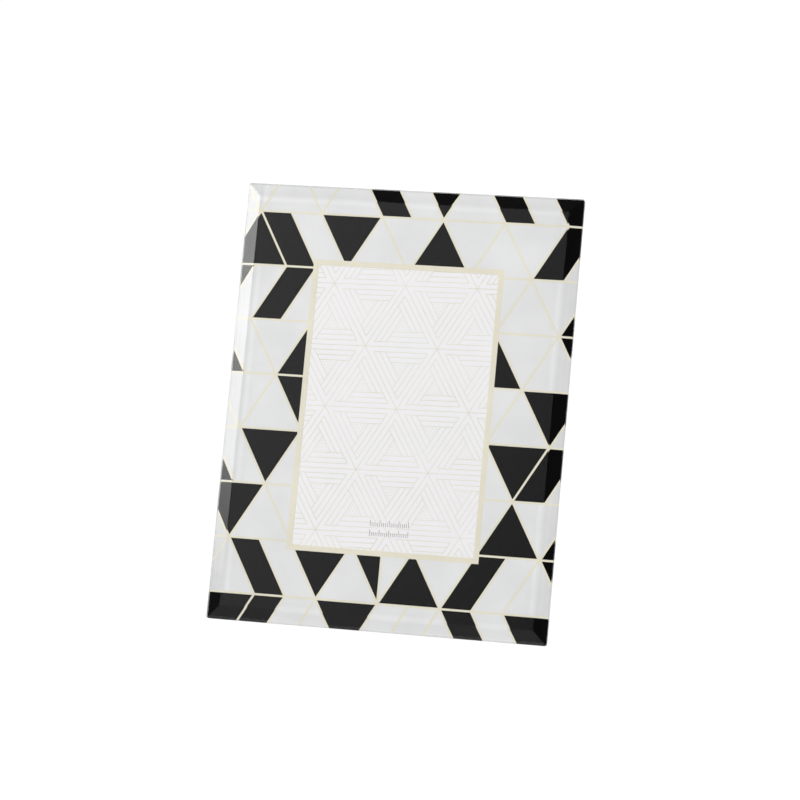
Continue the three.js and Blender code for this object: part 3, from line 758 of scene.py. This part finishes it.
nickel = nickel_plate()
for name in ("left_upper", "left_lower", "right_upper", "right_lower"):
    node = f"turn_button_{name}"
    low, high = corners(node, plate_turn)
    pivot = plate_turn.inverted() @ Vector(joints[f"{name}_turn"]["pos_m"])
    turn_over = Matrix.Rotation(math.pi if name.startswith("right") else 0, 4, "Y")
    half = (high.z - low.z) / 2
    reach = high.x - low.x - half
    thickness = high.y - low.y
    button = block(Vector((-half, 0, -half)), Vector((reach, thickness, half)))
    round_edges(button, edges_along(button, TO_REAR), half - ROUND_SLACK, 8)
    round_edges(button, sharp_edges(button), PRESSED_EDGE, 2)
    boss_half = half - BOSS_EDGE
    boss = block(
        Vector((BOSS_START, thickness / 2, -boss_half)),
        Vector((reach - BOSS_EDGE, thickness + BOSS_RISE, boss_half)),
    )
    round_edges(boss, edges_along(boss, TO_REAR), boss_half - ROUND_SLACK, 6)
    boss.normal_update()
    rim = [edge for face in faces_towards(boss, TO_REAR) for edge in face.edges]
    round_edges(boss, rim, BOSS_RISE - ROUND_SLACK, 4)
    button = combine(button, boss, "UNION")
    bmesh.ops.transform(button, matrix=Matrix.Translation(pivot) @ turn_over, verts=button.verts)
    add_piece(f"button_{name}", button, plate_turn, f"button_{name}", nickel, [node])

    node = f"turn_screw_{name}"
    low, high = corners(node, plate_turn)
    radius = (high.x - low.x) / 2
    seat = high.y - SCREW_HEAD_HEIGHT
    screw = turned(domed_head(radius, SCREW_HEAD_HEIGHT, SCREW_SHANK, seat - low.y, 0))
    for long_way in (0, 2):
        reach = Vector((RECESS_WIDTH / 2, RECESS_DEPTH, RECESS_WIDTH / 2))
        reach[long_way] = RECESS_LENGTH / 2
        middle = Vector((0, SCREW_HEAD_HEIGHT, 0))
        screw = combine(screw, block(middle - reach, middle + reach), "DIFFERENCE")
    place = Vector(((low.x + high.x) / 2, seat, (low.z + high.z) / 2))
    bmesh.ops.translate(screw, vec=place, verts=screw.verts)
    add_piece(f"screw_{name}", screw, plate_turn, "frame", nickel, [node])

# Hinge base, pin and rivets. The base is black satin steel sheet, pressed with an ear at each end
# of the pin and riveted through the panel. Pin and rivets are bright nickel, with rolled ends.
COAT_BLACK = (0.012, 0.0125, 0.0135, 1)
COAT_GREY = (0.022, 0.0225, 0.024, 1)
WORN_STEEL = (0.28, 0.28, 0.29, 1)
COAT_GRAIN = 0.03 * MM
HINGE_SHEET = 1.0 * MM
SHEET_CORNER = 2.0 * MM
EAR_THICKNESS = 1.5 * MM
EAR_RADIUS = 2.2 * MM
PIN_BORE = 1.3 * MM
PIN_ROUND = 0.35 * MM
RIVET_HEAD_HEIGHT = 0.9 * MM
RIVET_SHANK = 1.2 * MM
RIVET_DIMPLE = 0.8 * MM
RIVET_DIMPLE_DEPTH = 0.3 * MM
RIVET_DIMPLE_FLOOR = 0.85  # flat part, as a share of its radius
RIVET_LIP = 0.02 * MM
RIVET_LIP_ANGLE = math.radians(8)
TO_RIGHT = Vector((1, 0, 0))


def satin_black():
    """Black satin paint on steel, rubbed through to the metal along its edges."""
    material, tree, surface = new_material("satin_black", Specular_IOR_Level=0.5)
    grain = noise_mask(tree, 0.3, 0, 1, detail=3)
    paint = mixed_colour(tree, grain, COAT_BLACK, COAT_GREY)
    shape = add_node(tree, "ShaderNodeNewGeometry")
    sharp = spread(tree, shape.outputs["Pointiness"], 0.54, 0.62)
    rubbed = combined(tree, "MULTIPLY", sharp, noise_mask(tree, 2.5, 0, 0.7))
    marks = place_group(tree, marks_group, Clean=0.34, Dulled=0.5)
    feed(
        tree, surface, Base_Color=mixed_colour(tree, rubbed, paint, WORN_STEEL), Metallic=rubbed,
        Roughness=marks.outputs["Roughness"],
    )
    add_relief(tree, surface, grain, 0.2, COAT_GRAIN)
    return material


def rod_across(radius, length, middle):
    """A round bar along x, about a point."""
    shape = bmesh.new()
    bmesh.ops.create_cone(
        shape, cap_ends=True, segments=TURNED_STEPS, radius1=radius, radius2=radius, depth=length,
        matrix=Matrix.Translation(middle) @ Matrix.Rotation(math.pi / 2, 4, "Y"),
    )
    shape.normal_update()
    return shape


def rivet_for(node, turn, body):
    """A tubular rivet in place of a solid, with a rolled crown round its dimple."""
    low, high = corners(node, turn)
    radius = (high.x - low.x) / 2
    seat = high.y - RIVET_HEAD_HEIGHT
    crown = math.asin(RIVET_DIMPLE / radius) + RIVET_LIP_ANGLE
    outside = domed_head(radius, RIVET_HEAD_HEIGHT, RIVET_SHANK, seat - low.y, crown)
    floor = RIVET_HEAD_HEIGHT - RIVET_DIMPLE_DEPTH
    lip = outside[0][1] - RIVET_LIP
    dimple = [(0, floor), (RIVET_DIMPLE * RIVET_DIMPLE_FLOOR, floor), (RIVET_DIMPLE, lip)]
    rivet = turned(dimple + outside)
    place = Vector(((low.x + high.x) / 2, seat, (low.z + high.z) / 2))
    bmesh.ops.translate(rivet, vec=place, verts=rivet.verts)
    add_piece(node.replace("rivet", "tubular_rivet"), rivet, turn, body, nickel, [node])


coated_steel = satin_black()
pin_middle = plate_turn.inverted() @ Vector(joints["strut_fold"]["pos_m"])
low, high = corners("hinge_base", plate_turn)
base = block(low, Vector((high.x, low.y + HINGE_SHEET, high.z)))
round_edges(base, edges_along(base, TO_REAR), SHEET_CORNER, 5)
for left_x, right_x in ((low.x, low.x + EAR_THICKNESS), (high.x - EAR_THICKNESS, high.x)):
    ear = block(
        Vector((left_x, low.y + HINGE_SHEET / 2, pin_middle.z - EAR_RADIUS)),
        Vector((right_x, high.y, pin_middle.z + EAR_RADIUS)),
    )
    crown = [edge for edge in edges_along(ear, TO_RIGHT) if edge.verts[0].co.y > pin_middle.y]
    round_edges(ear, crown, EAR_RADIUS - ROUND_SLACK, 8)
    base = combine(base, ear, "UNION")
bore = rod_across(PIN_BORE, 2 * (high.x - low.x), pin_middle)
base = combine(base, bore, "DIFFERENCE")
round_edges(base, sharp_edges(base), PRESSED_EDGE, 2)
add_piece("pressed_hinge_base", base, plate_turn, "frame", coated_steel, ["hinge_base"])

low, high = corners("hinge_pin", plate_turn)
pin = rod_across((high.z - low.z) / 2, high.x - low.x, (low + high) / 2)
round_edges(pin, sharp_edges(pin), PIN_ROUND, 3)
pin.normal_update()
ends = faces_towards(pin, TO_RIGHT) + faces_towards(pin, -TO_RIGHT)
bmesh.ops.inset_individual(pin, faces=ends, thickness=PIN_ROUND, depth=-PIN_ROUND / 2)
add_piece("rolled_hinge_pin", pin, plate_turn, "frame", nickel, ["hinge_pin"])
for side in ("left", "right"):
    rivet_for(f"base_rivet_{side}", plate_turn, "frame")

# Hinge leaf and strut. The leaf is the same black sheet, rolled round the pin, with a stop that
# meets the base when the strut is open. It is riveted to the strut, a tapered board in velvet paper.
KNUCKLE_RADIUS = 2.2 * MM
STRUT_TOP_WIDTH = 38.0 * MM
STRUT_CORNER = 4.0 * MM

opening = math.radians(joints["strut_fold"]["range_deg"][1])
strut_turn = Matrix.Rotation(opening - lean, 4, "X")
pivot = strut_turn.inverted() @ Vector(joints["strut_fold"]["pos_m"])
low, high = corners("hinge_leaf", strut_turn)
leaf = block(
    Vector((low.x, pivot.y - HINGE_SHEET / 2, low.z)),
    Vector((high.x, pivot.y + HINGE_SHEET / 2, pivot.z)),
)
lower = [edge for edge in edges_along(leaf, TO_REAR) if edge.verts[0].co.z < pivot.z - MM]
round_edges(leaf, lower, SHEET_CORNER, 5)
leaf = combine(leaf, rod_across(KNUCKLE_RADIUS, high.x - low.x, pivot), "UNION")
stop_low, stop_high = corners("hinge_leaf", plate_turn)
stop = block(
    Vector((stop_low.x, stop_low.y, pin_middle.z)),
    Vector((stop_high.x, stop_low.y + HINGE_SHEET, stop_high.z)),
)
bmesh.ops.transform(stop, matrix=strut_turn.inverted() @ plate_turn, verts=stop.verts)
leaf = combine(leaf, stop, "UNION")
leaf = combine(leaf, rod_across(PIN_BORE, 2 * (high.x - low.x), pivot), "DIFFERENCE")
round_edges(leaf, sharp_edges(leaf), PRESSED_EDGE, 2)
add_piece("rolled_hinge_leaf", leaf, strut_turn, "strut", coated_steel, ["hinge_leaf"])
for side in ("left", "right"):
    rivet_for(f"leaf_rivet_{side}", strut_turn, "strut")

low, high = corners("easel_strut", strut_turn)
strut = block(low, high)
top = [vertex for vertex in strut.verts if vertex.co.z > (low.z + high.z) / 2]
bmesh.ops.scale(strut, vec=(STRUT_TOP_WIDTH / (high.x - low.x), 1, 1), verts=top)
round_edges(strut, edges_along(strut, TO_REAR), STRUT_CORNER, 6)
bmesh.ops.transform(strut, matrix=strut_turn, verts=strut.verts)
cut_off(strut, Vector(), Vector((0, 0, -1)))
round_edges(strut, sharp_edges(strut), BOARD_EDGE, 3)
add_piece("velvet_strut", strut, Matrix.Identity(4), "strut", velvet, ["easel_strut"])

# Studio. A white floor that runs out of sight, soft light all round, one tall softbox at the left
# that the left bevel mirrors, and grey flags that only reflections show, for the darker bevels.
# One grey sheet lies on the floor in front: painted shade of the floor there, for the bottom bevel.
# Places are azimuth and elevation in degrees and distance in metres, from the object's middle.
WHITE = (1, 1, 1, 1)
FLOOR_SIZE = 8.0
FLOOR_GREY = (0.8, 0.8, 0.8, 1)
FLOOR_SEEN = (0.12, 0.12, 0.12, 1)
FLOOR_GLOW = 0.93
SKY_LIGHT = 0.87
SOFTBOX_LIGHT = 6.0
SOFTBOX_LEAST = 0.02
SOFTBOX_PLACE = (-57, 22, 2.0)
SOFTBOX_SIZE = (0.64, 0.96)
SOFTBOX_FADE = (-0.345, 0.0)
SOFTBOX_CURVE = 0.5
RIGHT_FLAG_PLACE = (20, 27, 1.2)
RIGHT_FLAG_SIZE = (2.4, 1.8)
RIGHT_FLAG_ROLL = -36
RIGHT_FLAG_FADE = (-0.95, -0.11, 0.0, 0.93)  # two places across it, and the cloth at each
TOP_FLAG_PLACE = (-28, 64, 1.2)
TOP_FLAG_SIZE = (1.0, 0.9)
TOP_FLAG_FADE = (-0.42, -0.15, 0.0, 0.88)
# Painted shade: a grey sheet on the floor in front of the frame, seen only in reflections.
FLOOR_SHADE_PLACE = Vector((0, -0.12, 0.5 * MM))
FLOOR_SHADE_SIZE = (0.5, 0.14)
FLOOR_SHADE_FADE = (-1.0, 1.0, 0.45, 0.45)

object_middle = (cad_box[0] + cad_box[1]) / 2


def away_from_object(azimuth, elevation, distance):
    """A place in the studio, and its direction. Azimuth 0 is straight in front."""
    flat = math.cos(math.radians(elevation))
    direction = Vector((
        math.sin(math.radians(azimuth)) * flat,
        -math.cos(math.radians(azimuth)) * flat,
        math.sin(math.radians(elevation)),
    ))
    return object_middle + direction * distance, direction


def seen_by_eye(tree):
    """1 for the rays that show the background: to the camera, by reflection or through glass."""
    path = add_node(tree, "ShaderNodeLightPath")
    shown = combined(tree, "MAXIMUM", path.outputs["Is Camera Ray"], path.outputs["Is Glossy Ray"])
    return combined(tree, "MAXIMUM", shown, path.outputs["Is Transmission Ray"])


def studio_card(name, place, facing, size, roll, material):
    """A flat card at a place in the studio, with its back to one direction."""
    shape = bmesh.new()
    bmesh.ops.create_grid(
        shape, x_segments=1, y_segments=1, size=0.5, matrix=Matrix.Diagonal((*size, 1, 1))
    )
    card = new_object(name, shape, material)
    turn = facing.to_track_quat("Z", "Y").to_matrix().to_4x4()
    card.matrix_world = Matrix.Translation(place) @ turn @ Matrix.Rotation(math.radians(roll), 4, "Z")
    card.visible_camera = False
    card.visible_transmission = False
    return card


def card_fade(tree, axis, start, end, least=0.0, most=1.0):
    """A mask across a card, from one amount at a place to another at a second place."""
    place = add_node(tree, "ShaderNodeTexCoord").outputs["Object"]
    split = add_node(tree, "ShaderNodeSeparateXYZ", {0: place})
    return spread(tree, split.outputs[axis], start, end, least, most)


def add_flag(name, place, facing, size, roll, axis, fade):
    """Grey cloth that only reflections show, and that holds back more light towards one side."""
    material, tree, _ = new_material(name)
    amount = card_fade(tree, axis, *fade)
    clear = add_node(tree, "ShaderNodeBsdfTransparent")
    dark = add_node(tree, "ShaderNodeEmission", {"Strength": 0.0})
    show_shader(tree, mixed_shader(tree, amount, clear, dark))
    flag = studio_card(name, place, facing, size, roll, material)
    flag.visible_diffuse = False
    flag.visible_shadow = False


def softbox_material():
    """White diffuser, dimmer towards its lower edge."""
    material, tree, _ = new_material("softbox")
    share = combined(tree, "POWER", card_fade(tree, 1, *SOFTBOX_FADE), SOFTBOX_CURVE)
    share = combined(tree, "MAXIMUM", share, SOFTBOX_LEAST)
    strength = combined(tree, "MULTIPLY", share, SOFTBOX_LIGHT)
    show_shader(tree, add_node(tree, "ShaderNodeEmission", {"Strength": strength}).outputs[0])
    return material


def floor_material():
    """White paper that keeps a faint shadow where the eye sees it."""
    material, tree, surface = new_material("white_floor", Roughness=0.9, Base_Color=FLOOR_GREY)
    thin = add_node(tree, "ShaderNodeBsdfDiffuse", {"Color": FLOOR_SEEN})
    glow = add_node(tree, "ShaderNodeEmission", {"Strength": FLOOR_GLOW})
    shown = add_node(tree, "ShaderNodeAddShader", {0: thin.outputs[0], 1: glow.outputs[0]})
    show_shader(tree, mixed_shader(tree, seen_by_eye(tree), surface, shown))
    return material


floor_shape = bmesh.new()
bmesh.ops.create_grid(floor_shape, x_segments=1, y_segments=1, size=FLOOR_SIZE / 2)
floor = new_object("floor", floor_shape, floor_material())

studio_card("softbox", *away_from_object(*SOFTBOX_PLACE), SOFTBOX_SIZE, 0, softbox_material())
right_place = away_from_object(*RIGHT_FLAG_PLACE)
add_flag("right_flag", *right_place, RIGHT_FLAG_SIZE, RIGHT_FLAG_ROLL, 0, RIGHT_FLAG_FADE)
add_flag("top_flag", *away_from_object(*TOP_FLAG_PLACE), TOP_FLAG_SIZE, 0, 1, TOP_FLAG_FADE)
downwards = Vector((0, 0, -1))
# Painted shade of the floor in front of the frame, which only reflections show.
add_flag("painted_floor_shade", FLOOR_SHADE_PLACE, downwards, FLOOR_SHADE_SIZE, 0, 1, FLOOR_SHADE_FADE)

world = bpy.data.worlds.new("studio")
bpy.context.scene.world = world
world.use_nodes = True
sky = world.node_tree
soft_light = sky.nodes["Background"]
soft_light.inputs["Color"].default_value = WHITE
soft_light.inputs["Strength"].default_value = SKY_LIGHT
white = add_node(sky, "ShaderNodeBackground", {"Color": WHITE, "Strength": 1.0})
either = mixed_shader(sky, seen_by_eye(sky), soft_light, white)
sky.links.new(either, sky.nodes["World Output"].inputs["Surface"])

# Camera. A long lens, a little to the right of the frame and above it, rolled slightly. Its place
# and its focal length, in pixels of the picture, come from a fit to the edges of the glass.
CAMERA_PLACE = (12.967, 12.592, 1.53147)
CAMERA_ROLL = 0.891
CAMERA_RIGHT = 1.81 * MM
CAMERA_UP = 4.415 * MM
FOCAL_PIXELS = 2979.1
IMAGE_PIXELS = 800
SENSOR = 36.0

camera = bpy.data.objects.new("camera", bpy.data.cameras.new("camera"))
bpy.context.collection.objects.link(camera)
camera.data.sensor_width = SENSOR
camera.data.lens = SENSOR * FOCAL_PIXELS / IMAGE_PIXELS
place, back = away_from_object(*CAMERA_PLACE)
level = Vector((0, 0, 1)).cross(back).normalized()
right = Matrix.Rotation(math.radians(CAMERA_ROLL), 3, back) @ level
up = back.cross(right)
turned_camera = Matrix((right, up, back)).transposed().to_4x4()
camera.matrix_world = Matrix.Translation(place + right * CAMERA_RIGHT + up * CAMERA_UP) @ turned_camera
bpy.context.scene.camera = camera
bpy.context.scene.view_settings.view_transform = "Standard"
